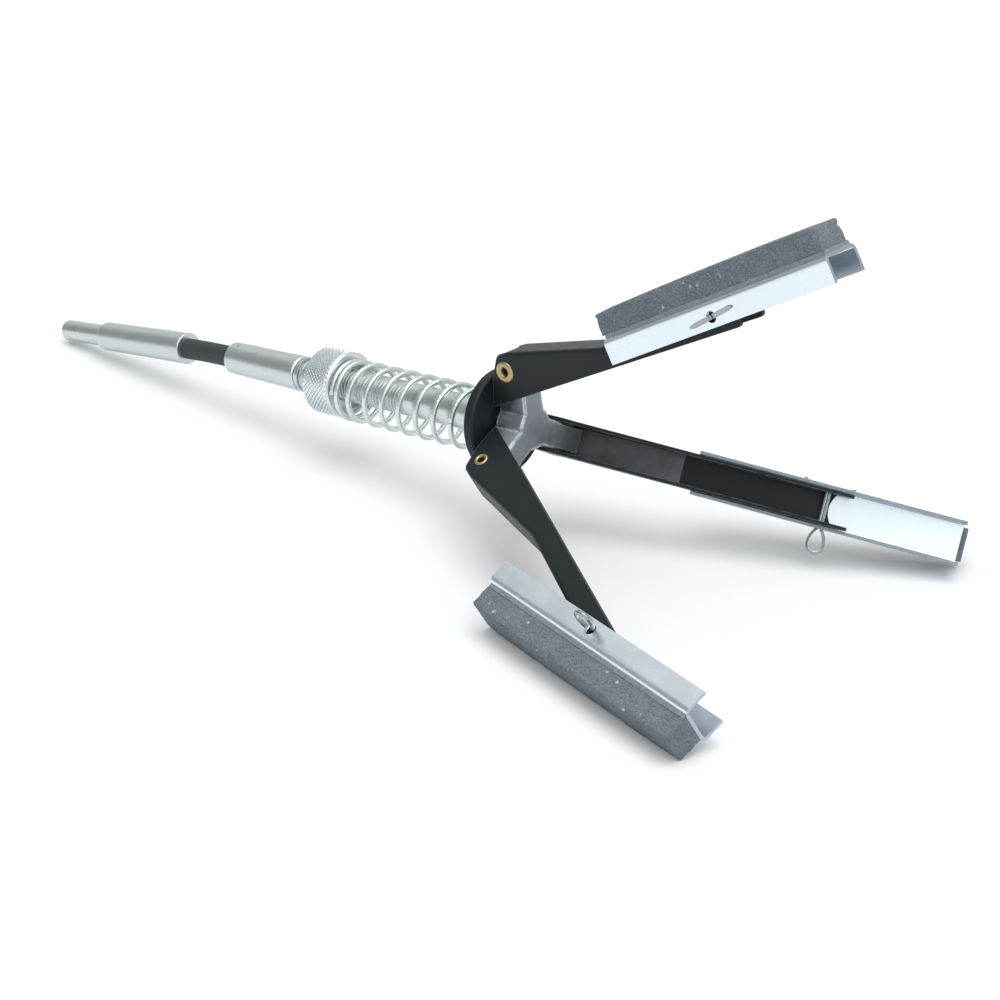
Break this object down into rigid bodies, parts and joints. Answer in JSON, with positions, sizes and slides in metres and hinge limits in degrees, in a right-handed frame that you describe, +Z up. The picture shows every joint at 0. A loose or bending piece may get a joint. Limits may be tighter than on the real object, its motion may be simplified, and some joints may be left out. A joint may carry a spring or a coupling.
{
  "type": "cylinder hone",
  "caption": "Spring loaded engine cylinder hone: abrasive stones on hinged arms round a threaded spindle, with a tension nut and a flexible drive shaft.",
  "frame": {"origin": "on the table, under the middle of the tool's box", "axes": "+X along the tool's axis laid flat, towards the stones; +Z up; the tool lies on its shank and its two lower stones"},
  "size_m": [0.3208, 0.1484, 0.1164],
  "materials": {
    "bright_steel": "bright drawn steel",
    "satin_steel": "satin zinc plated steel",
    "flexible_wire": "dark close wound wire, oily",
    "threaded_steel": "fine rolled thread, dull steel",
    "knurled_steel": "straight and cross knurl, satin",
    "spring_steel": "hard drawn spring wire",
    "black_oxide": "blackened steel, semi gloss",
    "cast_hub": "sintered steel, mid grey",
    "eyelet_brass": "dull rolled brass",
    "zinc_plate": "bluish zinc plated sheet",
    "cement": "rough grey cement",
    "abrasive_stone": "speckled dark grey abrasive, matt"
  },
  "bodies": {
    "spindle": {"threaded_spindle": "threaded_steel", "front_sleeve": "satin_steel", "stop_ring": "bright_steel", "hub": "cast_hub", "compression_spring": "spring_steel", "flexible_shaft": "flexible_wire"},
    "drive_end": {"drive_shank": "bright_steel", "rear_ferrule": "satin_steel"},
    "nut": {"tension_nut": "knurled_steel"},
    "pusher": {"pusher_disc": "black_oxide"},
    "near_arm": {"near_arm": "black_oxide", "near_eyelet": "eyelet_brass"},
    "near_carrier": {"near_carrier": "zinc_plate", "near_cement": "cement", "near_stone": "abrasive_stone", "near_cotter_pin": "bright_steel"},
    "far_arm": {"far_arm": "black_oxide", "far_eyelet": "eyelet_brass"},
    "far_carrier": {"far_carrier": "zinc_plate", "far_cement": "cement", "far_stone": "abrasive_stone", "far_cotter_pin": "bright_steel"},
    "upper_arm": {"upper_arm": "black_oxide", "upper_eyelet": "eyelet_brass"},
    "upper_carrier": {"upper_carrier": "zinc_plate", "upper_cement": "cement", "upper_stone": "abrasive_stone", "upper_cotter_pin": "bright_steel"}
  },
  "joints": [
    {"name": "near_arm_swing", "type": "hinge", "parent": "spindle", "child": "near_arm", "pos_m": [0.05279, -0.02142, 0.02453], "axis": [0.0993, 0.5477, -0.8308], "range_deg": [-33, 0], "stiffness_Nm_per_rad": 1.2, "springref_deg": 17.19},
    {"name": "far_arm_swing", "type": "hinge", "parent": "spindle", "child": "far_arm", "pos_m": [0.0526, 0.00832, 0.02619], "axis": [-0.106, 0.4507, 0.8863], "range_deg": [-33, 0]},
    {"name": "upper_arm_swing", "type": "hinge", "parent": "spindle", "child": "upper_arm", "pos_m": [0.04964, -0.008, 0.05094], "axis": [0.0066, -0.9984, -0.0556], "range_deg": [-22.4, 0]},
    {"name": "near_stone_rock", "type": "hinge", "parent": "near_arm", "child": "near_carrier", "pos_m": [0.12126, -0.05478, 0.01073], "axis": [-0.0993, -0.5477, 0.8308], "range_deg": [-22, 13.5]},
    {"name": "far_stone_rock", "type": "hinge", "parent": "far_arm", "child": "far_carrier", "pos_m": [0.1206, 0.04391, 0.01622], "axis": [0.106, -0.4507, -0.8863], "range_deg": [-0.4, 35.1]},
    {"name": "upper_stone_rock", "type": "hinge", "parent": "upper_arm", "child": "upper_carrier", "pos_m": [0.11847, -0.00951, 0.0863], "axis": [-0.0066, 0.9984, 0.0556], "range_deg": [-0.4, 35.1]},
    {"name": "pusher_slide", "type": "slide", "parent": "spindle", "child": "pusher", "axis": [0.9929, 0, 0.1187], "range_m": [-0.00481, 0], "deforming": ["compression_spring"]},
    {"name": "nut_travel", "type": "slide", "parent": "spindle", "child": "nut", "axis": [0.9929, 0, 0.1187], "range_m": [0, 0.022], "deforming": ["compression_spring"]},
    {"name": "flexible_shaft_bend", "type": "hinge", "parent": "spindle", "child": "drive_end", "pos_m": [-0.0821, -0.00702, 0.01773], "axis": [-0.0066, 0.9984, 0.0556], "range_deg": [-25, 25], "stiffness_Nm_per_rad": 3, "deforming": ["flexible_shaft"]}
  ],
  "couplings": [
    {"joint": "far_arm_swing", "follows": "near_arm_swing", "ratio": 1},
    {"joint": "upper_arm_swing", "follows": "near_arm_swing", "ratio": 0.67879},
    {"joint": "pusher_slide", "follows": "near_arm_swing", "m_per_rad": 0.008334}
  ]
}
